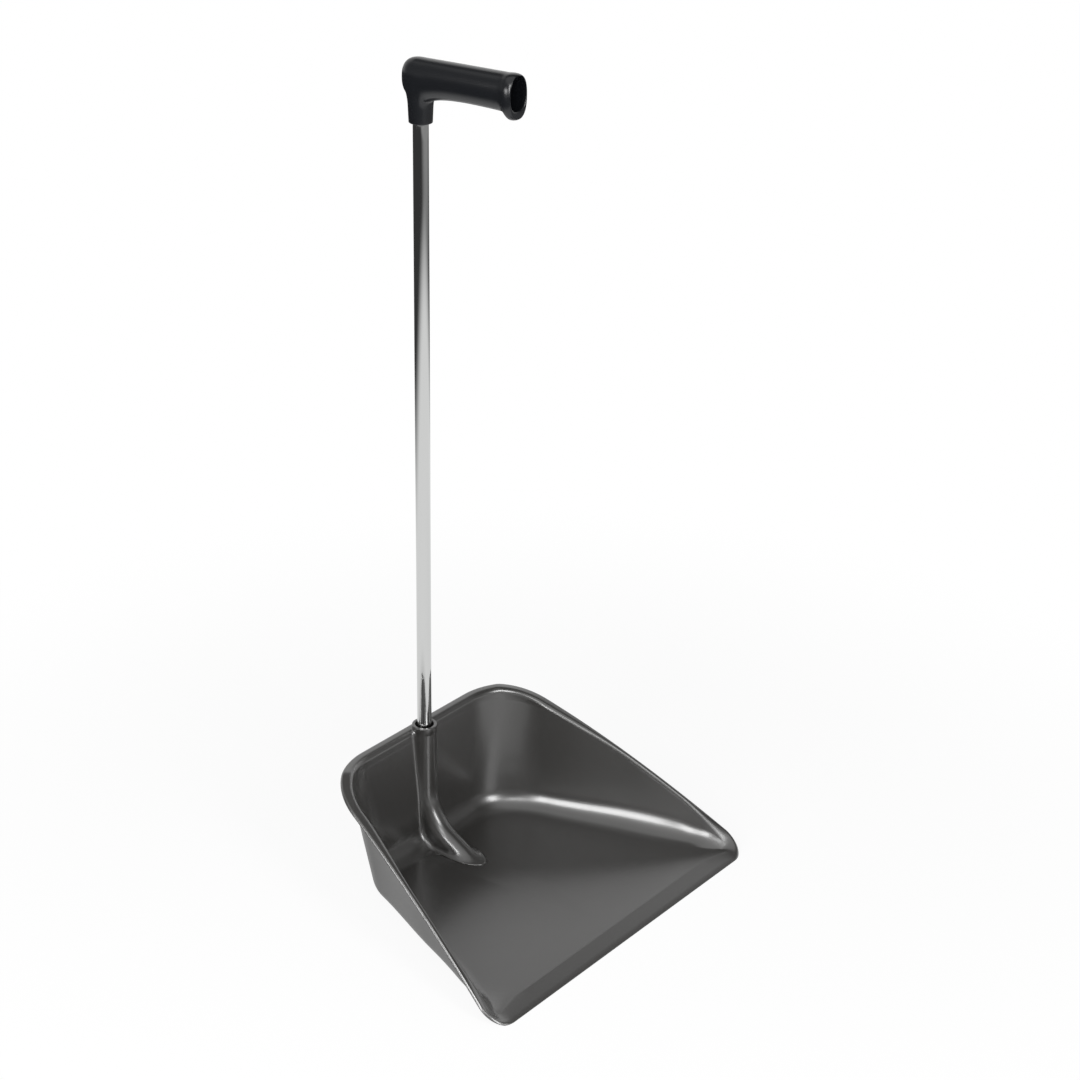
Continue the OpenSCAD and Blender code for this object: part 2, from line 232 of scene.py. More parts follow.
@dataclass
class Pan:
    """The moulded scoop with its socket boss, toe, rim and lip.

    Lengths are in millimetres and angles in degrees. Names that end in _n count steps or points, and those
    that end in _share are parts of one.
    """

    lip_w: float = 390.0
    lip_reach: float = 259.0
    rim_back: float = 15.0
    back_w: float = 260.0
    rim_h: float = 128.0
    rim_level: float = 12.0
    rim_rise_front: float = 1.3
    rim_rise_back: float = 0.65
    front_corner_r: float = 20.5
    back_corner_r: float = 70.0
    wall_t: float = 2.5
    floor_t: float = 3.0
    lip_t: float = 1.2
    side_draft: float = 10.4
    front_draft: float = 12.5
    back_draft: float = 5.0
    draft_turn: float = 50.0
    low_share: float = 0.75
    floor_fillet: float = 22.0
    front_fillet: float = 29.0
    fillet_share: float = 0.8
    least_fillet: float = 3.0
    least_room: float = 0.01
    least_skirt: float = 1.5
    wall_from: float = 22.0
    wall_over: float = 34.0
    slope_hollow: float = 0.15
    corner_more: float = 15.0
    corner_pull: float = 0.585
    calm_reach: float = 62.0
    calm_fall: float = 0.7
    calm_n: int = 16
    flange_back: float = 12.0
    flange_side: float = 6.0
    flange_front: float = 10.0
    narrow_by: float = 0.25
    widen_from: float = 0.5
    ramp_w: float = 22.0
    ramp_clear: float = 5.0
    crease_in: float = 1.0
    crease_near: float = 0.001
    flange_t: float = 2.8
    bevel_w: float = 1.29
    bevel_share: float = 0.75
    rim_edge: tuple[Pair, ...] = (
        (1.07, 0.09), (0.21, 1.23), (0.06, 1.5), (0.0, 1.71), (0.21, 1.94), (1.0, 2.0)
    )
    rim_r: float = 5.0
    rim_r_share: float = 0.35
    rim_in_share: float = 0.6
    least_overhang: float = 2.5
    under_r: float = 2.0
    under_share: float = 0.3
    under_n: int = 3
    skirt_out: float = 0.4
    skirt_rises: tuple[float, ...] = (0.3, 0.65)
    shoulder_drop: float = 11.0
    shoulder_step: float = 0.06
    shoulder_in: float = 5.0
    shoulder_soft: float = 0.9
    shoulder_clear: float = 0.03
    boss_r: float = 11.8
    mouth_r: float = 12.2
    mouth_rise: float = 4.3
    rib_in: float = 0.03
    rib_rings: tuple[Pair, ...] = ((0.8, 0.0), (0.25, 0.2), (0.0, 0.8), (0.0, 60.0))
    rib_under: float = 2.0
    ring_under: float = 1.2
    ring_soft: float = 0.7
    flare_soft: float = 0.5
    ring_n: int = 7
    flare_n: int = 3
    flare_r: float = 9.2
    flare_depth: float = 9.0
    bore_r: float = 7.05
    socket_depth: float = 112.0
    toe_reach: float = 70.4
    toe_h: float = 63.8
    toe_fall: float = 27.4
    toe_core_r: float = 8.5
    core_n: int = 48
    spin_n: int = 96
    toe_n: int = 16
    axis_past: float = 230.0
    blend_low: float = 5.5
    blend_high: float = 4.5
    blend_rise: float = 55.0
    ray_back: float = 10.0
    ray_l: float = 95.0
    ray_n: int = 181
    ray_steps: int = 240
    halve_n: int = 16
    hole_in: float = 0.8
    hole_round: float = 0.6
    hole_n: int = 60
    nose_half: float = 34.0
    nose_columns: int = 121
    fillet_n: int = 13
    round_n: int = 7
    lip_n: int = 16
    front_n: int = 18
    side_n: int = 48
    corner_n: int = 28
    back_n: int = 10
    skirt_n: int = 10
    shoulder_n: int = 4
    rises: tuple[float, ...] = (*(0.035 * k for k in range(1, 14)), 0.53, 0.62, 0.72, 0.82, 0.92, 0.98)
    under_rim: tuple[float, ...] = (0.12, 0.5, 0.85)
    on_flange: tuple[float, ...] = (0.35, 0.7)

    @property
    def taper(self) -> float:
        """Turn of the pan's sides from straight ahead, in degrees."""
        return math.degrees(math.atan2((self.lip_w - self.back_w) / 2, self.lip_reach + self.rim_back))

    @property
    def mouth_z(self) -> float:
        """Height of the socket's mouth."""
        return self.rim_h + self.mouth_rise

    @property
    def toe_slope(self) -> float:
        """Fall of the toe's straight foot, as an angle."""
        return math.radians(self.toe_fall)

    @property
    def toe_bend_r(self) -> float:
        """Radius of the toe's axis where the boss bends forward into it.

        Returns:
            The radius.
        """
        meet = self.floor_t + (self.toe_reach - self.boss_r) * math.tan(self.toe_slope)
        crest = (self.toe_h - meet) / math.tan(math.radians(45) - self.toe_slope / 2)
        return crest + self.boss_r

    @property
    def front_corner(self) -> Pair:
        """Centre of the lip's right corner."""
        reach = math.tan(math.radians((90 + self.taper) / 2))
        return self.lip_w / 2 - self.front_corner_r * reach, self.front_corner_r - self.lip_reach

    @property
    def back_corner(self) -> Pair:
        """Centre of the rim's right back corner."""
        reach = math.tan(math.radians((90 - self.taper) / 2))
        return self.back_w / 2 - self.back_corner_r * reach, self.rim_back - self.back_corner_r

    def forward(self, y: float) -> float:
        """Share of the way along the straight side, from its back end to where the sides are low.

        Args:
            y: Place along the pan.

        Returns:
            The share, from 0 to 1.
        """
        low = on_arc(self.front_corner, self.front_corner_r, self.taper)[1]
        high = on_arc(self.back_corner, self.back_corner_r, self.taper)[1]
        return step01((high - y) / (self.low_share * (high - low)))

    def lean(self, st: Station) -> float:
        """Lean of the wall at a station, as an angle: most where the sides are low, least along the back."""
        side = mix(self.side_draft, self.front_draft, self.forward(st.y))
        return math.radians(mix(self.back_draft, side, step01((90 - st.heading) / self.draft_turn)))

    def side_flange(self, q: float) -> float:
        """Width of the flange at the share q of the side, from the lip."""
        front = mix(self.flange_front, self.flange_side, step01(q / self.narrow_by))
        return mix(front, self.flange_back, step01((q - self.widen_from) / (1 - self.widen_from)))

    def rim_z(self, y: float) -> float:
        """Height of the rim, which rises along an S-curve.

        Args:
            y: Place along the pan.

        Returns:
            The height.
        """
        s = (y + self.lip_reach) / (self.rim_back - self.rim_level + self.lip_reach)
        s = min(1.0, max(0.0, s))
        rise = self.rim_rise_front * (s**3 - 2 * s**2 + s) + 3 * s**2 - 2 * s**3
        rise += self.rim_rise_back * (s**3 - s**2)
        return self.lip_t + (self.rim_h - self.lip_t) * rise

    def half_outline(self) -> list[Station]:
        """Stations from the middle of the lip round the right side to the plain back wall.

        Returns:
            The stations, in order.
        """
        taper = self.taper
        fr = self.front_corner_r
        br = self.back_corner_r
        front = self.front_corner
        back = self.back_corner
        side_a = on_arc(front, fr, taper)
        side_b = on_arc(back, br, taper)
        crease_w = min(self.ramp_w, fr - self.ramp_clear)
        stations = []
        for i in range(self.lip_n):
            x = front[0] * math.sin(math.radians(90 * i / self.lip_n))
            w = mix(self.ramp_w, crease_w, step01((x - front[0] + fr) / fr))
            stations.append(Station(x, -self.lip_reach, -90.0, w))
        for i in range(self.front_n):
            a = -90 + (90 + taper) * i / self.front_n
            w = mix(crease_w, self.flange_front, step01(i / self.front_n))
            stations.append(Station(*on_arc(front, fr, a), a, w))
        for i in range(self.side_n):
            q = i / self.side_n
            px = mix(side_a[0], side_b[0], q)
            py = mix(side_a[1], side_b[1], q)
            stations.append(Station(px, py, taper, self.side_flange(q)))
        for i in range(self.corner_n):
            a = taper + (90 - taper) * i / self.corner_n
            stations.append(Station(*on_arc(back, br, a), a, self.flange_back))
        for i in range(self.back_n):
            x = mix(back[0], self.nose_half, i / self.back_n)
            stations.append(Station(x, self.rim_back, 90.0, self.flange_back))
        return stations

    def stand_up(self, up: float, scoop: float, start: Pair, end: Pair, points: list[Pair]) -> list[Pair]:
        """Let a wall rise out of a plain slope.

        Args:
            up: Share of its full form that the wall has.
            scoop: How far the slope is hollowed, from straight at 0.
            start: Point at the rim's edge where the slope starts.
            end: Point on the floor where the slope ends.
            points: The wall's own points.

        Returns:
            The points between the slope and the wall.
        """
        raised = []
        for d, z in points:
            t = min(1.0, max(0.0, (d - start[0]) / (end[0] - start[0])))
            fall = mix(t, step01(t), self.slope_hollow * scoop)
            raised.append((d, mix(mix(start[1], end[1], fall), z, up)))
        return raised

    def held(self, radius: float, room: float) -> float:
        """Radius of a fillet, held back softly where its wall gives it little room."""
        return (radius**-4 + max(self.fillet_share * room, self.least_room) ** -4) ** -0.25

    def section(self, st: Station) -> list[Pair]:
        """One section of the shell at a station.

        Args:
            st: The station.

        Returns:
            Points (distance in from the rim's edge, height), from the floor up the inside, over the
            flange and down the outside to the ground.
        """
        w = st.flange
        lean = self.lean(st)
        top = self.rim_z(st.y)
        inner = max(top, self.floor_t)
        h = inner - self.floor_t
        edge = min(self.flange_t, top) / 2
        r = min(self.rim_r, self.rim_r_share * h)
        r_in = min(max(r, 1.0), self.rim_in_share * (w - edge))
        wall_top = inner - r
        fillet = mix(self.floor_fillet, self.front_fillet, self.forward(st.y))
        fr = self.held(fillet, h - r)
        fr_in = max(fr, self.least_fillet)
        fillet_z = self.floor_t + fr * (1 - math.sin(lean))
        drop = wall_top - fillet_z
        clear = self.shoulder_clear * drop
        shelf = self.rim_h - self.shoulder_drop
        step = self.shoulder_step * step01((wall_top - shelf - 1) / self.shoulder_in)
        z1 = min(shelf + self.shoulder_soft, wall_top - clear)
        z2 = min(shelf - self.shoulder_soft, wall_top - 2 * clear)
        foot = w + drop * math.tan(lean) + step
        ahead = st.y + self.lip_reach
        scoop = step01(ahead / self.wall_from)
        far = mix(w - self.crease_in, foot + fr_in * math.cos(lean), scoop)
        up = 1.0 if st.heading == -90 else step01((ahead - self.wall_from) / self.wall_over)
        bend = fillet_points(lean, fr_in, fr, self.fillet_n)
        inside = [(foot + d, self.floor_t + z) for d, z in reversed(bend)]
        wall = [(mix(fillet_z, z2, f), step) for f in self.rises]
        for k in range(self.shoulder_n + 1):
            f = k / self.shoulder_n
            wall.append((mix(z2, z1, f), mix(step, 0.0, step01(f))))
        wall += [(mix(z1, wall_top, f), 0.0) for f in self.under_rim]
        inside += [(w + (wall_top - z) * math.tan(lean) + inset, z) for z, inset in wall]
        inside += [(w - r_in * (1 - c), wall_top + r * s) for s, c in quarter(self.round_n)]
        inside += [(mix(w - r_in, edge, f), mix(inner, top, f)) for f in self.on_flange]
        brink = mix(edge, w - r_in, step01(ahead / (self.wall_from + self.wall_over)))
        points = self.stand_up(up, scoop, (brink, inner), (max(far, brink + 0.5), self.floor_t), inside)
        points.append((min(self.bevel_w * edge, mix(w - r_in, edge, self.bevel_share)), top))
        points += [(inward * edge, top - down * edge) for inward, down in self.rim_edge]
        under = max(0.0, top - self.flange_t)
        over = max(w - self.wall_t, self.least_overhang)
        gr = self.held(fillet + self.wall_t, under)
        gr_in = max(gr, self.least_skirt)
        skirt_z = gr * (1 - math.sin(lean))
        skirt = over + self.skirt_out + (under - skirt_z) * math.tan(lean)
        soft = min(self.under_r, self.under_share * (under - skirt_z))
        outside = [(mix(edge, over - soft, 0.5), under)]
        outside += [(over - soft * (1 - s), under - soft * (1 - c)) for s, c in quarter(self.under_n)]
        for f in self.skirt_rises:
            z = mix(under - soft, skirt_z, f)
            outside.append((over + self.skirt_out * f + (under - z) * math.tan(lean), z))
        outside += [(skirt + d, z) for d, z in fillet_points(lean, gr_in, gr, self.skirt_n)]
        return points + self.stand_up(up, scoop, (edge, top - 2 * edge), (far, 0.0), outside)

    @property
    def wall_levels(self) -> int:
        """Number of levels from the floor up to the top of the inner wall."""
        return self.fillet_n + len(self.rises) + self.shoulder_n + len(self.under_rim) + 3

    def toe_axis(self) -> np.ndarray:
        """Bent axis of the boss and its toe in the middle plane.

        Returns:
            Its (y, z) points, from the top down.
        """
        s = self.toe_slope
        r = self.toe_bend_r
        past = self.axis_past
        points = [(0.0, past), (0.0, self.toe_h)]
        for k in range(1, self.toe_n + 1):
            a = (math.pi / 2 - s) * k / self.toe_n
            points.append((-r * (1 - math.cos(a)), self.toe_h - r * math.sin(a)))
        y, z = points[-1]
        points.append((y - past * math.cos(s), z - past * math.sin(s)))
        return np.array(points)

    def boss_gap(self, pts: np.ndarray, axis: np.ndarray) -> np.ndarray:
        """Distance of points from the skin of the boss and toe.

        Args:
            pts: Points, one per row.
            axis: Bent axis of the boss and toe.

        Returns:
            One distance per point, below zero inside.
        """
        away, side = nearest(pts[:, 1:3], axis)
        across = np.abs(pts[:, 0])
        return np.where(side <= 0, np.hypot(across, away), across) - self.boss_r

    def nose_row(self, level: int, profile: np.ndarray, axis: np.ndarray) -> np.ndarray:
        """Line of one level round the boss and toe, from right to left.

        Args:
            level: Number of the level.
            profile: The back wall's inner section as (y, z) points, from the floor up.
            axis: Bent axis of the boss and toe.

        Returns:
            Evenly spaced (x, y) points.
        """
        y0, z0 = profile[level]
        wall_end = profile[self.wall_levels - 1][0]
        ground = [[-self.axis_past, self.floor_t]]
        base = np.concatenate([ground, profile[: self.wall_levels], [[wall_end, self.axis_past]]])
        rise = step01((z0 - self.floor_t) / self.blend_rise)
        soft = mix(self.blend_low, self.blend_high, rise)
        back = self.ray_back
        limit = math.atan2(self.nose_half, back)
        turns = np.linspace(limit, -limit, self.ray_n)
        reach = np.linspace(0.0, self.ray_l, self.ray_steps)

        def gap(x: np.ndarray, y: np.ndarray) -> np.ndarray:
            """Distance of points from the wall and boss, blended.

            Args:
                x: Places across the pan.
                y: Places along the pan.

            Returns:
                One distance per point, below zero inside.
            """
            pts = np.stack([x, y, np.full_like(x, z0)], axis=1)
            wall = np.sign(y0 - y) * nearest(pts[:, 1:3], base)[0]
            boss = self.boss_gap(pts, axis)
            near = np.maximum(soft, np.minimum(wall, boss))
            return near - np.hypot(np.maximum(soft - wall, 0), np.maximum(soft - boss, 0))

        ray_x = np.sin(turns)
        ray_y = -np.cos(turns)
        grid_x = (ray_x[:, None] * reach).ravel()
        grid_y = (y0 + back + ray_y[:, None] * reach).ravel()
        free = gap(grid_x, grid_y).reshape(len(turns), len(reach)) > TINY
        out = np.argmax(free, axis=1)
        low = reach[np.maximum(out - 1, 0)]
        high = reach[out]
        for _ in range(self.halve_n):
            mid = (low + high) / 2
            outside = gap(ray_x * mid, y0 + back + ray_y * mid) > TINY
            high = np.where(outside, mid, high)
            low = np.where(outside, low, mid)
        line = np.stack([ray_x * high, y0 + back + ray_y * high], axis=1)
        line[0] = (self.nose_half, y0)
        line[-1] = (-self.nose_half, y0)
        return resample(line, self.nose_columns)

    def mouth_row(self, y_in: float) -> np.ndarray:
        """Line of the flange's inner edge, which runs round the front of the socket's mouth.

        Args:
            y_in: Place of the flange's inner edge beside the mouth.

        Returns:
            Evenly spaced (x, y) points, from right to left.
        """
        hole = self.boss_r - self.hole_in
        beside = hole + self.hole_round
        arc = np.linspace(math.pi / 2, -math.pi / 2, self.hole_n)
        line = np.concatenate([
            [[self.nose_half, y_in], [beside, y_in]],
            np.stack([hole * np.sin(arc), -hole * np.cos(arc)], axis=1),
            [[-beside, y_in], [-self.nose_half, y_in]],
        ])
        return resample(line, self.nose_columns)

    def round_corner(self, row: np.ndarray, extra: float) -> np.ndarray:
        """Let the back corner of one line turn in a wider bend.

        Args:
            row: Points of the line, from the lip to the plain back wall.
            extra: How far the bend reaches along both walls past its own ends.

        Returns:
            The points, those beside the bend moved along the line.
        """
        start = self.lip_n + self.front_n
        first = start + self.side_n
        last = first + self.corner_n
        steps = np.arange(len(row), dtype=float)
        side = extra / np.linalg.norm(row[first, :2] - row[first - 1, :2])
        back = extra / np.linalg.norm(row[last + 1, :2] - row[last, :2])
        before = np.clip((steps - start) / (first - start), 0.0, 1.0) ** 3
        after = np.clip((len(row) - steps) / (len(row) - last), 0.0, 1.0) ** 2
        places = np.where(steps <= first, steps - side * before, steps + back * after)

        def at(place: np.ndarray) -> np.ndarray:
            """Points on the line at places counted in columns.

            Args:
                place: The places.

            Returns:
                One point per place.
            """
            return np.stack([np.interp(place, steps, row[:, k]) for k in range(3)], axis=1)

        moved = at(places)
        near, a, b, far = at(np.array([places[first] - 0.5, places[first], places[last], places[last] + 0.5]))
        run = (a - near)[:2] / np.linalg.norm((a - near)[:2])
        turn = (far - b)[:2] / np.linalg.norm((far - b)[:2])
        reach = np.linalg.solve(np.stack([run, turn], axis=1), (b - a)[:2])
        out = a[:2] + self.corner_pull * reach[0] * run
        home = b[:2] - self.corner_pull * reach[1] * turn
        t = np.linspace(0.0, 1.0, self.corner_n + 1)[:, None]
        bend = (1 - t) ** 3 * a[:2] + 3 * t * (1 - t) ** 2 * out + 3 * t**2 * (1 - t) * home + t**3 * b[:2]
        moved[first : last + 1, :2] = bend
        moved[first : last + 1, 2] = mix(a[2], b[2], t[:, 0])
        return moved

    def rings(self) -> tuple[np.ndarray, np.ndarray]:
        """Points of the whole skin.

        Returns:
            An array of levels by columns by three, and for each column whether it faces the mouth's hole.
        """
        half = self.half_outline()
        sections = [self.section(st) for st in half]
        levels = len(sections[0])
        right = np.zeros((levels, len(half), 3))
        for c, st in enumerate(half):
            heading = math.radians(st.heading)
            for j, (d, z) in enumerate(sections[c]):
                right[j, c] = (st.x - d * math.cos(heading), st.y - d * math.sin(heading), z)
        middle = self.lip_n + self.front_n + self.side_n + self.corner_n // 2
        high = right[self.wall_levels - 1, middle, 2]
        foot = right[self.fillet_n, middle, 2]
        for j in range(self.wall_levels - 1):
            share = min(1.0, (high - right[j, middle, 2]) / (high - foot))
            right[j] = self.round_corner(right[j], self.corner_more * share)
        plain = self.section(Station(0.0, self.rim_back, 90.0, self.flange_back))
        back = np.array([(self.rim_back - d, z) for d, z in plain])
        axis = self.toe_axis()
        nose = np.zeros((levels, self.nose_columns, 3))
        wall = self.wall_levels
        for j in range(wall):
            nose[j, :, :2] = self.nose_row(j, back, axis)
            nose[j, :, 2] = back[j, 1]
        inner = wall + self.round_n - 1
        mouth = self.mouth_row(back[inner, 0])
        for k in range(1, self.round_n + 1):
            share = 1 - math.cos(math.radians(90 * k / self.round_n))
            j = wall - 1 + k
            nose[j, :, :2] = mix(nose[wall - 1, :, :2], mouth, share)
            nose[j, :, 2] = back[j, 1]
        facing = mouth[:, 1] <= TINY
        for j in range(inner + 1, levels):
            nose[j, :, 0] = mouth[:, 0]
            nose[j, :, 1] = back[j, 0]
            nose[j, :, 2] = back[j, 1]
        behind = np.where(facing, -mouth[:, 1], mouth[:, 1] * back[inner + 1, 0] / back[inner, 0])
        nose[inner + 1, :, 1] = behind
        left = right[:, :0:-1] * np.array([-1.0, 1.0, 1.0])
        ring = np.concatenate([right, nose, left], axis=1)
        hole = np.concatenate([np.zeros(len(half), bool), facing, np.zeros(len(half) - 1, bool)])
        return ring, hole

    def skin(self, mesh_bm: BMesh) -> None:
        """Lay a grid round the rim and draw it into the pan's skin, then fill floor and underside.

        Args:
            mesh_bm: Mesh that takes the skin.
        """
        ring, hole = self.rings()
        levels, columns = ring.shape[:2]
        inner = self.wall_levels + self.round_n - 1
        made = bmesh.ops.create_grid(mesh_bm, x_segments=columns, y_segments=levels - 1, size=1.0)
        verts = made["verts"]
        for index, vert in enumerate(verts):
            vert.co = ring[index // (columns + 1), index % (columns + 1) % columns]
        self.calm_corners(mesh_bm, verts[columns + 1 : (inner + 3) * (columns + 1)])
        doomed = []
        for face in mesh_bm.faces:
            ids = [vert.index for vert in face.verts]
            rows = {i // (columns + 1) for i in ids}
            cols = {i % (columns + 1) % columns for i in ids}
            if rows == {inner, inner + 1} and all(hole[c] for c in cols):
                doomed.append(face)
        bmesh.ops.delete(mesh_bm, geom=doomed, context="FACES_ONLY")
        weld(mesh_bm)
        rims = [e for e in mesh_bm.edges if e.is_boundary]
        floor = level_edges(rims, 2, self.floor_t)
        ground = level_edges(rims, 2, 0.0)
        bmesh.ops.triangle_fill(mesh_bm, edges=floor, use_beauty=True, normal=(0, 0, 1))
        core = self.toe_core_edges(mesh_bm)
        bmesh.ops.triangle_fill(mesh_bm, edges=ground + core, use_beauty=True, normal=(0, 0, -1))
        bmesh.ops.recalc_face_normals(mesh_bm, faces=mesh_bm.faces)
        crease = Vector((self.ramp_w - self.crease_in - self.lip_reach, self.floor_t))
        for edge in mesh_bm.edges:
            if all(max(map(abs, v.co.yz - crease)) < self.crease_near for v in edge.verts):
                edge.smooth = False

    def calm_corners(self, mesh_bm: BMesh, inside: list[BMVert]) -> None:
        """Smooth the front corners, most at the lip and less towards the side walls.

        Args:
            mesh_bm: Mesh of the skin.
            inside: Points of the levels that may move.
        """
        side_x = self.front_corner[0] - self.front_corner_r
        corner = [v for v in inside if abs(v.co.x) > side_x]
        for turn in range(self.calm_n):
            near = self.calm_reach * (1 - self.calm_fall * turn / self.calm_n) - self.lip_reach
            calm = [v for v in corner if v.co.y < near]
            bmesh.ops.smooth_vert(
                mesh_bm, verts=calm, factor=0.5, use_axis_x=True, use_axis_y=True, use_axis_z=True
            )

    def toe_core_edges(self, mesh_bm: BMesh) -> list[BMEdge]:
        """Hollow under the toe.

        Args:
            mesh_bm: Mesh that takes the hollow's wall.

        Returns:
            The edges of its mouth on the ground.
        """
        s = self.toe_slope
        start = self.toe_reach - (self.toe_core_r + self.wall_t + self.floor_t) / math.sin(s)
        length = (start - self.boss_r - self.wall_t) / math.cos(s) - self.toe_core_r * math.tan(s)
        made = bmesh.ops.create_circle(
            mesh_bm, cap_ends=False, segments=self.core_n, radius=self.toe_core_r
        )
        verts = made["verts"]
        edges = list(dict.fromkeys(e for v in verts for e in v.link_edges))
        for vert in verts:
            vert.co.y = vert.co.y / math.sin(s) - start
        top, rim = draw_out(mesh_bm, edges)
        for vert in top:
            along = vert.co.y + start
            vert.co.y += math.cos(s) * (length - along * math.cos(s))
            vert.co.z += math.sin(s) * (length - along * math.cos(s))
        bmesh.ops.triangle_fill(mesh_bm, edges=rim, use_beauty=True)
        return edges

    def boss(self, mesh_bm: BMesh) -> None:
        """The rib that the boss leaves outside, and the socket with its mouth ring and bore.

        Args:
            mesh_bm: Mesh that takes them.
        """
        r = self.boss_r - self.rib_in
        seat = self.mouth_z - self.socket_depth
        rib = [(0.0, 0.0)]
        rib += [(r - inward, z) for inward, z in self.rib_rings]
        rib += [(r, self.rim_h - self.rib_under)]
        ring = [(self.mouth_r, self.rim_h - self.ring_under)]
        soft = self.ring_soft
        lip = self.flare_soft
        top = self.mouth_z
        ring += [(self.mouth_r - soft * (1 - c), top - soft * (1 - s)) for s, c in quarter(self.ring_n)]
        ring += [(self.flare_r + lip * (1 - s), top - lip * (1 - c)) for s, c in quarter(self.flare_n)]
        bore = [(self.bore_r, self.mouth_z - self.flare_depth), (self.bore_r, seat), (0.0, seat)]
        spin_profile(mesh_bm, rib + ring + bore, self.spin_n)

    def build(self) -> Object:
        """Model the pan.

        Returns:
            The pan's object.
        """
        mesh_bm = bmesh.new()
        self.skin(mesh_bm)
        socket = bmesh.new()
        self.boss(socket)
        weld(socket)
        part = bpy.data.meshes.new("socket_part")
        socket.to_mesh(part)
        socket.free()
        mesh_bm.from_mesh(part)
        bpy.data.meshes.remove(part)
        return finish_mesh("pan_moulding", mesh_bm)


@dataclass
class HandleTube:
    """The straight chromed tube."""

    radius: float = 7.0
    wall: float = 1.0
    foot_z: float = 20.3
    length: float = 762.0
    soft: float = 0.3
    rings_n: int = 12
    spin_n: int = 96

    def build(self) -> Object:
        """Model the tube.

        Returns:
            The tube's object.
        """
        mesh_bm = bmesh.new()
        outer = self.radius
        inner = self.radius - self.wall
        low = self.foot_z
        high = self.foot_z + self.length
        soft = self.soft
        profile = [(inner, low + soft), (inner + soft, low), (outer - soft, low), (outer, low + soft)]
        profile += [(outer, mix(low, high, k / self.rings_n)) for k in range(1, self.rings_n)]
        profile += [(outer, high - soft), (outer - soft, high), (inner + soft, high), (inner, high - soft)]
        profile += [profile[0]]
        spin_profile(mesh_bm, profile, self.spin_n)
        weld(mesh_bm)
        return finish_mesh("handle_tube_chromed", mesh_bm)


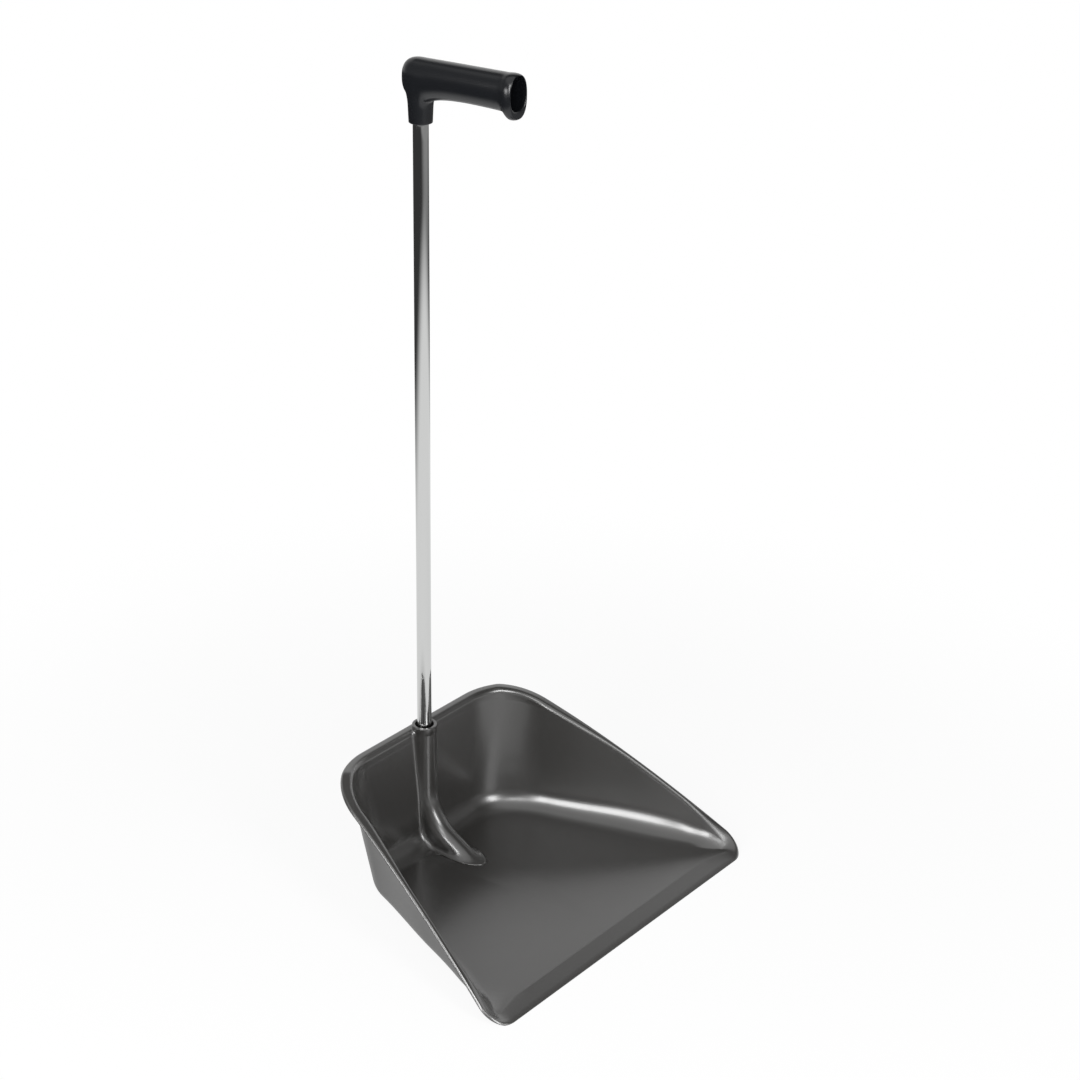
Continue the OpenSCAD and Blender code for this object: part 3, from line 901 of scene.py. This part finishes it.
@dataclass
class Grip:
    """The hollow pistol grip with its collar and front bead."""

    collar_z: float = 734.3
    front: float = 110.0
    back: float = 18.0
    width: float = 25.0
    under: float = 28.5
    height: float = 29.0
    rise: float = 5.0
    hook_drop: float = 6.0
    hook_l: float = 14.0
    sweep: float = 20.0
    roll: float = 5.0
    web_share: float = 0.3
    cap_more: float = 3.0
    cap_power: float = 2.5
    waist: float = 0.9
    bead_l: float = 14.0
    bead_in: float = 7.5
    bead_rise: float = 0.5
    oval_power: float = 0.82
    collar_r: float = 10.5
    bore_r: float = 7.03
    collar_rings: tuple[Pair, ...] = (
        (0.85, 19.5), (0.6, 13.0), (0.3, 6.0), (0.08, 1.1), (0.03, 0.3), (-0.3, 0.0),
    )
    bore_rings: tuple[Pair, ...] = (
        (0.6, 0.0), (0.0, 0.5), (0.0, 4.0), (0.0, 30.0), (0.0, 47.0),
    )
    around: int = 24
    smooth_levels: int = 2
    opening_rows: tuple[int, int] = (4, 8)
    body_rings: tuple[float, ...] = (
        17.8, 17.0, 15.3, 12.8, 9.6, 4.0, -2.0, -7.0, -11.6,
        -17.0, -25.0, -36.0, -50.0, -64.0, -78.0, -88.0, -94.0,
    )
    front_rings: tuple[Pair, ...] = (
        (13.0, 0.0), (11.0, 0.0), (9.3, 0.0), (7.8, 0.0), (6.5, 0.0),
        (5.0, 0.06), (3.4, 0.22), (2.0, 0.5), (0.9, 0.85), (0.2, 1.25),
    )
    front_shrink: float = 1.5
    front_inset: float = 1.75
    front_share: float = 0.75
    hollow_rings: tuple[Pair, ...] = (
        (0.4, 1.9), (1.5, 2.05), (6.0, 2.3), (14.0, 2.8), (40.0, 3.2), (70.0, 3.2), (94.0, 3.2), (98.0, 3.6),
    )

    @property
    def body_from(self) -> float:
        """Place where the straight body starts, ahead of the round back end."""
        return self.back - self.height / 2 - self.cap_more

    def top(self, y: float) -> float:
        """Height of the grip's top."""
        return self.under + self.height + self.rise * max(0.0, -y) / self.front

    def bottom(self, y: float, hook: float) -> float:
        """Height of the grip's underside.

        Args:
            y: Place along the grip.
            hook: Depth of the hook at the front.

        Returns:
            The height.
        """
        d = max(0.0, -y)
        web = self.web_share * self.under * math.exp(-max(0.0, d - self.collar_r) / self.sweep)
        return self.under - web - hook * step01((d - self.front + self.hook_l) / (self.hook_l - self.roll))

    def ring(self, y: float, inset: float, hook: float, shrink: float = 0.0) -> list[Triple]:
        """One upright oval of the grip's body.

        Args:
            y: Place along the grip.
            inset: Distance in from the outer skin.
            hook: Depth of the hook that this oval follows.
            shrink: Distance by which the oval is drawn in where the front end is rounded.

        Returns:
            Points round the oval.
        """
        at = min(y, self.body_from)
        cap = self.back - self.body_from
        into = max(0.0, y - self.body_from) / cap
        share = max(0.0, 1 - into**self.cap_power) ** (1 / self.cap_power)
        bead = step01((self.bead_l - self.front - y) / self.bead_in)
        half = self.width / 2 * mix(self.waist, 1.0, bead)
        low = self.bottom(at, hook)
        high = self.top(at) + self.bead_rise * bead
        half = half * share - inset - shrink
        tall = (high - low) / 2 * share - inset - shrink
        mid = (low + high) / 2
        points = []
        for i in range(self.around):
            a = math.tau * (i + 0.5) / self.around
            c = math.cos(a)
            s = math.sin(a)
            points.append((
                half * math.copysign(abs(c) ** self.oval_power, c),
                y,
                mid + tall * math.copysign(abs(s) ** self.oval_power, s),
            ))
        return points

    def loops(self) -> list[list[Triple]]:
        """Ovals from the round back end to the open front and back in along the hollow.

        Returns:
            The points of each oval.
        """
        f = self.front
        hook = self.hook_drop
        rows = [self.ring(y, 0.0, hook) for y in self.body_rings]
        rows += [self.ring(back - f, 0.0, hook, shrink) for back, shrink in self.front_rings]
        outer = self.ring(-f, 0.0, hook, self.front_shrink)
        inner = self.ring(-f, self.front_inset, 0.0)
        rows.append(outer)
        rows.append([tuple(mix(a, b, self.front_share) for a, b in zip(p, q)) for p, q in zip(outer, inner)])
        rows += [self.ring(back - f, inset, 0.0) for back, inset in self.hollow_rings]
        return rows

    def build(self) -> Object:
        """Model the grip as a cage of ovals with the collar drawn out of its underside.

        Returns:
            The grip's object.
        """
        mesh_bm = bmesh.new()
        rows = self.loops()
        made = bmesh.ops.create_grid(mesh_bm, x_segments=self.around, y_segments=len(rows) - 1, size=1.0)
        across = self.around + 1
        for index, vert in enumerate(made["verts"]):
            vert.co = rows[index // across][index % across % self.around]
        quarter = self.around // 4
        low = 3 * quarter
        span = quarter - 1
        doomed = []
        for face in mesh_bm.faces:
            ids = [vert.index for vert in face.verts]
            row = min(i // across for i in ids)
            col = min(i % across for i in ids)
            if row in range(*self.opening_rows) and low - span <= col < low + span:
                doomed.append(face)
        bmesh.ops.delete(mesh_bm, geom=doomed, context="FACES")
        bmesh.ops.remove_doubles(mesh_bm, verts=mesh_bm.verts, dist=WELD)
        rims = [e for e in mesh_bm.edges if e.is_boundary]
        caps = level_edges(rims, 1, rows[0][0][1])
        ends = level_edges(rims, 1, rows[-1][0][1])
        mouth = [e for e in rims if e not in caps and e not in ends]
        bmesh.ops.contextual_create(mesh_bm, geom=caps)
        bmesh.ops.contextual_create(mesh_bm, geom=ends)
        self.collar(mesh_bm, mouth)
        bmesh.ops.translate(mesh_bm, vec=(0, 0, self.collar_z), verts=mesh_bm.verts)
        bmesh.ops.recalc_face_normals(mesh_bm, faces=mesh_bm.faces)
        piece = finish_mesh("grip_moulding", mesh_bm)
        subsurf = piece.modifiers.new("smooth form", "SUBSURF")
        subsurf.levels = self.smooth_levels
        subsurf.render_levels = self.smooth_levels
        return piece

    def collar(self, mesh_bm: BMesh, mouth: list[BMEdge]) -> None:
        """Draw the collar out of the opening in the underside, round its foot and sink its bore.

        Args:
            mesh_bm: The grip's cage.
            mouth: Edges of the opening.
        """
        edges = mouth
        rings = [(self.collar_r + more, z) for more, z in self.collar_rings]
        rings += [(self.bore_r + more, z) for more, z in self.bore_rings]
        for radius, z in rings:
            verts, edges = draw_out(mesh_bm, edges)
            for vert in verts:
                flat = Vector((vert.co.x, vert.co.y)).normalized() * radius
                vert.co = (flat.x, flat.y, z)
        bmesh.ops.contextual_create(mesh_bm, geom=edges)


def feed(tree: NodeTree, node: Node, inputs: dict[str | int, object]) -> None:
    """Set the inputs of a node.

    Args:
        tree: The node tree that holds it.
        node: The node.
        inputs: Numbers, colours or sockets, by the input's name or place.
    """
    for key, value in inputs.items():
        if isinstance(value, NodeSocket):
            tree.links.new(value, node.inputs[key])
        else:
            node.inputs[key].default_value = value


def add_node(
    tree: NodeTree, kind: str, inputs: dict[str | int, object] | None = None, **settings: object
) -> Node:
    """Add one node to a node tree.

    Args:
        tree: The node tree.
        kind: Type of the node, without the words that all shader nodes start with.
        inputs: Numbers, colours or sockets for its inputs.
        **settings: Its other settings.

    Returns:
        The node.
    """
    node = tree.nodes.new(kind if kind.startswith("NodeGroup") else "ShaderNode" + kind)
    for name, value in settings.items():
        setattr(node, name, value)
    feed(tree, node, inputs or {})
    return node


def number(tree: NodeTree, operation: str, *values: object) -> NodeSocket:
    """Socket with the result of one sum on numbers or sockets."""
    return add_node(tree, "Math", dict(enumerate(values)), operation=operation).outputs[0]


def measure(tree: NodeTree, operation: str, place: object, other: object) -> NodeSocket:
    """Socket with the distance or the dot product of two vectors."""
    return add_node(tree, "VectorMath", {0: place, 1: other}, operation=operation).outputs["Value"]


def between(tree: NodeTree, a: object, b: object, t: NodeSocket) -> NodeSocket:
    """Socket with the number between a and b at the share t."""
    return add_node(tree, "Mix", {0: t, 2: a, 3: b}, data_type="FLOAT").outputs[0]


@dataclass(frozen=True)
class Fade:
    """A smooth passage from one number to another.

    Attributes:
        start: Value at which it starts.
        end: Value at which it ends.
        low: Result before the start.
        high: Result after the end.
    """

    start: float
    end: float
    low: float
    high: float

    def of(self, tree: NodeTree, value: NodeSocket) -> NodeSocket:
        """Add the passage to a node tree.

        Args:
            tree: The node tree.
            value: Socket with the value that drives it.

        Returns:
            The socket with the result.
        """
        ends = {"From Min": self.start, "From Max": self.end, "To Min": self.low, "To Max": self.high}
        node = add_node(tree, "MapRange", {"Value": value, **ends}, interpolation_type="SMOOTHSTEP")
        return node.outputs["Result"]


def shining(tree: NodeTree, path: bpy.types.bpy_prop_collection) -> NodeSocket:
    """Socket that is 1 for rays that come from a shining surface."""
    return number(tree, "MAXIMUM", path["Is Glossy Ray"], path["Is Transmission Ray"])


def moulded_skin() -> NodeTree:
    """Effect of a moulded plastic skin: slow drift in colour and gloss, and a fine grain.

    Returns:
        The node group, which both plastics use.
    """
    group = bpy.data.node_groups.new("moulded skin", "ShaderNodeTree")
    taken = (("Color", "Color"), ("Roughness", "Float"), ("Drift", "Float"), ("Grain Scale", "Float"))
    for name, kind in taken:
        group.interface.new_socket(name, in_out="INPUT", socket_type="NodeSocket" + kind)
    for name, kind in (("Color", "Color"), ("Roughness", "Float"), ("Height", "Float")):
        group.interface.new_socket(name, in_out="OUTPUT", socket_type="NodeSocket" + kind)
    given = add_node(group, "NodeGroupInput").outputs
    place = add_node(group, "TexCoord").outputs["Object"]
    slow = add_node(group, "TexNoise", {"Vector": place, "Scale": DRIFT_SCALE, "Detail": 2.0})
    grain = add_node(group, "TexNoise", {"Vector": place, "Scale": given["Grain Scale"], "Detail": 3.0})
    sway = number(group, "MULTIPLY_ADD", slow.outputs["Fac"], 2.0, -1.0)
    share = number(group, "MULTIPLY_ADD", sway, given["Drift"], 1.0)
    tint = add_node(group, "VectorMath", {0: given["Color"], "Scale": share}, operation="SCALE")
    gloss = number(group, "MULTIPLY", given["Roughness"], share)
    made = {"Color": tint.outputs["Vector"], "Roughness": gloss, "Height": grain.outputs["Fac"]}
    add_node(group, "NodeGroupOutput", made)
    return group


@dataclass(frozen=True)
class PlasticFinish:
    """A moulded plastic.

    Attributes:
        name: Name of the material.
        color: Its colour.
        roughness: Its mean roughness.
        drift: Share by which colour and roughness wander.
        grain_scale: Fineness of the grain, per metre.
        grain_depth: Strength of the grain.
        ior: Index of refraction.
        coat: Weight of the polished outer skin.
        coat_roughness: Roughness of the outer skin.
        grain_height: Height of the grain in metres.
    """

    name: str
    color: Triple
    roughness: float
    drift: float
    grain_scale: float
    grain_depth: float
    ior: float
    coat: float
    coat_roughness: float = 0.18
    grain_height: float = 0.0002

    def material(self, skin: NodeTree) -> Material:
        """Make the material.

        Args:
            skin: The effect of a moulded skin.

        Returns:
            The material.
        """
        mat = bpy.data.materials.new(self.name)
        mat.use_nodes = True
        tree = mat.node_tree
        given = {"Color": (*self.color, 1), "Roughness": self.roughness}
        given |= {"Drift": self.drift, "Grain Scale": self.grain_scale}
        effect = add_node(tree, "Group", given, node_tree=skin).outputs
        grain = {"Strength": self.grain_depth, "Distance": self.grain_height, "Height": effect["Height"]}
        bump = add_node(tree, "Bump", grain)
        feed(tree, tree.nodes["Principled BSDF"], {
            "Base Color": effect["Color"],
            "Roughness": effect["Roughness"],
            "Normal": bump.outputs["Normal"],
            "IOR": self.ior,
            "Coat Weight": self.coat,
            "Coat Roughness": self.coat_roughness,
        })
        return mat


SATIN_GRAPHITE = PlasticFinish(
    name="satin graphite plastic",
    color=(0.026, 0.025, 0.0235),
    roughness=0.31,
    drift=0.05,
    grain_scale=1800.0,
    grain_depth=0.06,
    ior=1.85,
    coat=0.55,
)
GLOSS_BLACK = PlasticFinish(
    name="glossy black plastic",
    color=(0.0065, 0.0072, 0.0088),
    roughness=0.2,
    drift=0.06,
    grain_scale=1200.0,
    grain_depth=0.05,
    ior=1.48,
    coat=0.0,
)


@dataclass(frozen=True)
class ChromeFinish:
    """Bright chrome plate with faint lines along the drawn tube."""

    color: Triple = (0.60, 0.605, 0.60)
    roughness: Pair = (0.04, 0.08)
    noise_span: Pair = (0.3, 0.7)
    lines: Triple = (700.0, 700.0, 8.0)
    line_depth: float = 0.02
    line_height: float = 0.0001

    def material(self) -> Material:
        """Make the material.

        Returns:
            The material.
        """
        mat = bpy.data.materials.new("bright chrome")
        mat.use_nodes = True
        tree = mat.node_tree
        place = add_node(tree, "TexCoord").outputs["Object"]
        stretch = add_node(tree, "Mapping", {"Vector": place, "Scale": self.lines}).outputs["Vector"]
        drawn = add_node(tree, "TexNoise", {"Vector": stretch, "Scale": 1.0, "Detail": 2.0}).outputs["Fac"]
        low, high = self.noise_span
        gloss = add_node(tree, "MapRange", {
            "Value": drawn,
            "From Min": low,
            "From Max": high,
            "To Min": self.roughness[0],
            "To Max": self.roughness[1],
        })
        lines = {"Strength": self.line_depth, "Distance": self.line_height, "Height": drawn}
        feed(tree, tree.nodes["Principled BSDF"], {
            "Base Color": (*self.color, 1),
            "Metallic": 1.0,
            "Roughness": gloss.outputs["Result"],
            "Normal": add_node(tree, "Bump", lines).outputs["Normal"],
        })
        return mat


@dataclass(frozen=True)
class SoftBox:
    """A soft box of the studio.

    Attributes:
        name: Its name.
        place: Where it hangs, in metres.
        aim: Point that it faces.
        size: Its width and height.
        power: Its power in watts.
    """

    name: str
    place: Triple
    aim: Triple
    size: Pair
    power: float

    def hang(self) -> None:
        """Put the box into the scene."""
        data = bpy.data.lights.new(self.name, "AREA")
        data.shape = "RECTANGLE"
        data.size, data.size_y = self.size
        data.energy = self.power
        lamp = bpy.data.objects.new(self.name, data)
        lamp.location = self.place
        lamp.rotation_euler = (Vector(self.aim) - Vector(self.place)).to_track_quat("-Z", "Y").to_euler()
        bpy.context.scene.collection.objects.link(lamp)


@dataclass
class Studio:
    """Floor, lamps, white surroundings and the camera.

    Angles are in degrees, the lens, its sensor and the camera's place in millimetres, the rest in metres.
    """

    lens: float = 80.0
    sensor: float = 36.0
    yaw: float = 50.980
    pitch: float = 26.097
    roll: float = 1.007
    place: Triple = (-1503.3, -1359.3, 1325.1)
    clip: float = 50.0
    ambient: float = 0.35
    sweep_to: Triple = (0.78, 0.63, 0.0)
    panel_to: Triple = (-0.5, 0.0, 0.866)
    under_fade: Fade = Fade(-0.40, -0.12, 0.03, 1.0)
    over_fade: Fade = Fade(0.61, 0.68, 1.0, 0.16)
    side_fade: Fade = Fade(0.1, 0.55, 0.25, 1.0)
    panel_fade: Fade = Fade(0.62, 0.85, 0.0, 1.0)
    floor_r: float = 6.0
    floor_n: int = 96
    floor_white: float = 0.85
    pale_centre: Triple = (-0.066, -0.294, 0.0)
    pale_side: Triple = (0.5, -0.866, 0.0)
    # Centre of a painted shadow on the floor by the pan's left side, which only reflections show.
    painted_shadow_centre: Triple = (-0.13, 0.08, 0.0)
    far_fade: Fade = Fade(0.35, 0.9, 0.9, 1.0)
    # Reach and depth of that painted shadow on the floor.
    painted_shadow_fade: Fade = Fade(0.1, 0.3, 0.45, 1.0)
    away_fade: Fade = Fade(1.0, 1.72, 0.0, 1.0)
    beyond_fade: Fade = Fade(0.3, 2.4, 0.05, 0.35)
    boxes: tuple[SoftBox, ...] = (
        SoftBox("left box", (-1.61, -0.08, 1.07), (0.05, 0.0, 0.05), (0.5, 0.9), 17.0),
        SoftBox("front box", (-0.36, -1.6, 0.98), (0.0, 0.05, 0.05), (0.5, 0.9), 17.0),
        SoftBox("top box", (-1.03, -0.83, 1.37), (0.05, 0.0, 0.05), (0.7, 0.45), 4.5),
        SoftBox("side box", (-1.45, 0.67, 0.76), (-0.17, 0.0, 0.05), (0.4, 0.35), 4.0),
    )

    def camera(self) -> None:
        """Put the camera where the photograph was taken from."""
        yaw = math.radians(self.yaw)
        pitch = math.radians(self.pitch)
        roll = math.radians(self.roll)
        level = math.cos(pitch)
        ahead = Vector((math.sin(yaw) * level, math.cos(yaw) * level, -math.sin(pitch)))
        right = Vector((math.cos(yaw), -math.sin(yaw), 0.0))
        up = right.cross(ahead)
        right_rolled = math.cos(roll) * right + math.sin(roll) * up
        up_rolled = -math.sin(roll) * right + math.cos(roll) * up
        data = bpy.data.cameras.new("camera")
        data.lens = self.lens
        data.sensor_width = self.sensor
        data.clip_end = self.clip
        cam = bpy.data.objects.new("camera", data)
        x, y, z = self.place
        place = Vector((x, y + AXIS_Y, z)) * MM
        turn = Matrix((right_rolled, up_rolled, -ahead)).transposed().to_4x4()
        cam.matrix_world = Matrix.Translation(place) @ turn
        bpy.context.scene.collection.objects.link(cam)
        bpy.context.scene.camera = cam

    def surroundings(self) -> None:
        """White surroundings, at full strength for what sees them and less for the ambient light.

        What shines sees a white sweep behind the object that darkens overhead and on the camera's side, and
        a white panel on the left.
        """
        world = bpy.data.worlds.new("white studio")
        world.use_nodes = True
        bpy.context.scene.world = world
        tree = world.node_tree
        tree.nodes.clear()
        path = add_node(tree, "LightPath").outputs
        place = add_node(tree, "TexCoord").outputs["Generated"]
        height = add_node(tree, "SeparateXYZ", {0: place}).outputs["Z"]
        behind = measure(tree, "DOT_PRODUCT", place, self.sweep_to)
        left = measure(tree, "DOT_PRODUCT", place, self.panel_to)
        sweep = number(tree, "MULTIPLY", self.under_fade.of(tree, height), self.over_fade.of(tree, height))
        sweep = number(tree, "MULTIPLY", sweep, self.side_fade.of(tree, behind))
        sweep = number(tree, "MAXIMUM", sweep, self.panel_fade.of(tree, left))
        strength = between(tree, self.ambient, sweep, shining(tree, path))
        strength = between(tree, strength, 1.0, path["Is Camera Ray"])
        light = add_node(tree, "Background", {"Color": (1, 1, 1, 1), "Strength": strength})
        add_node(tree, "OutputWorld", {"Surface": light.outputs[0]})

    def floor(self) -> None:
        """Pale round floor that keeps a soft shadow near the object and runs out to white.

        What shines sees a painted shadow on it right by the object, and sees it dimmer beyond the pale part
        round it.
        """
        mesh_bm = bmesh.new()
        bmesh.ops.create_circle(mesh_bm, cap_ends=True, segments=self.floor_n, radius=self.floor_r)
        mesh = bpy.data.meshes.new("floor")
        mesh_bm.to_mesh(mesh)
        mesh_bm.free()
        floor = bpy.data.objects.new("floor", mesh)
        bpy.context.scene.collection.objects.link(floor)
        mat = bpy.data.materials.new("pale floor")
        mat.use_nodes = True
        tree = mat.node_tree
        tree.nodes.clear()
        path = add_node(tree, "LightPath").outputs
        place = add_node(tree, "TexCoord").outputs["Object"]
        far = self.far_fade.of(tree, measure(tree, "DISTANCE", place, (0.0, 0.0, 0.0)))
        # Painted shadow on the floor by the pan, which only reflections show.
        near = self.painted_shadow_fade.of(tree, measure(tree, "DISTANCE", place, self.painted_shadow_centre))
        away = self.away_fade.of(tree, measure(tree, "DISTANCE", place, self.pale_centre))
        beyond = self.beyond_fade.of(tree, measure(tree, "DOT_PRODUCT", place, self.pale_side))
        shine = shining(tree, path)
        seen = number(tree, "MAXIMUM", path["Is Camera Ray"], shine)
        # What shines sees the floor with the painted shadow by the pan, and dim beyond the pale part.
        pale = between(tree, 1.0, between(tree, near, beyond, away), shine)
        white = self.floor_white
        matte = add_node(tree, "BsdfDiffuse", {"Color": (white, white, white, 1)}).outputs[0]
        glow = add_node(tree, "Emission", {"Color": (1, 1, 1, 1), "Strength": pale}).outputs[0]
        share = number(tree, "MULTIPLY", seen, far)
        blend = add_node(tree, "MixShader", {"Fac": share, 1: matte, 2: glow})
        add_node(tree, "OutputMaterial", {"Surface": blend.outputs[0]})
        floor.data.materials.append(mat)

    def lamps(self) -> None:
        """Hang the soft boxes."""
        for box in self.boxes:
            box.hang()


def dress(piece: Object, mat: Material, node: str, body: Body) -> None:
    """Give a piece its finish and its place in the assembly.

    Args:
        piece: The piece.
        mat: Its material.
        node: The node that it stands for.
        body: The body that it rides on.
    """
    piece.data.materials.clear()
    piece.data.materials.append(mat)
    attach(piece, body.value)
    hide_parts(node)
    LOG.info("%s: %d faces, rides on %s", piece.name, len(piece.data.polygons), body.value)


def main() -> None:
    """Build the pieces, dress them and set the studio up."""
    logging.basicConfig(level=logging.INFO, format="%(name)s: %(message)s")
    bpy.context.scene.view_settings.view_transform = "Standard"
    studio = Studio()
    studio.camera()
    skin = moulded_skin()
    dress(Pan().build(), SATIN_GRAPHITE.material(skin), "pan", Body.PAN)
    dress(HandleTube().build(), ChromeFinish().material(), "handle_tube", Body.HANDLE)
    dress(Grip().build(), GLOSS_BLACK.material(skin), "grip", Body.HANDLE)
    studio.surroundings()
    studio.floor()
    studio.lamps()


if __name__ == "__main__":
    main()
